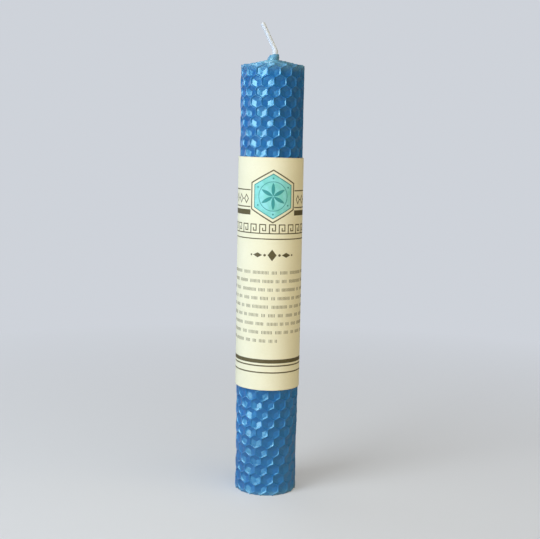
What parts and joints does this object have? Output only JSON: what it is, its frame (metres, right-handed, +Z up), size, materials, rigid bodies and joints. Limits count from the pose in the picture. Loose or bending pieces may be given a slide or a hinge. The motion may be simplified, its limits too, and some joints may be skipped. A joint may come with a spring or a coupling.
{
  "type": "rolled honeycomb candle",
  "caption": "Slim pillar candle rolled from an embossed honeycomb wax sheet, with a leaning cotton wick and a paper label sleeve that slides off.",
  "frame": {"origin": "centre of the base, on the surface the candle stands on", "axes": "+Z up along the candle, -Y towards the label's printed side, +X to the right seen from there"},
  "size_m": [0.0308, 0.0302, 0.2229],
  "materials": {
    "wax": "dyed honeycomb wax, satin to glossy",
    "wick": "braided cotton, primed with white wax",
    "paper": "uncoated cream paper, printed"
  },
  "bodies": {
    "candle": {"wax_sheet": "wax", "wick": "wick"},
    "sleeve": {"label": "paper"}
  },
  "joints": [
    {"name": "label_slide", "type": "slide", "parent": "candle", "child": "sleeve", "axis": [0, 0, 1], "range_m": [-0.051, 0.178]}
  ]
}
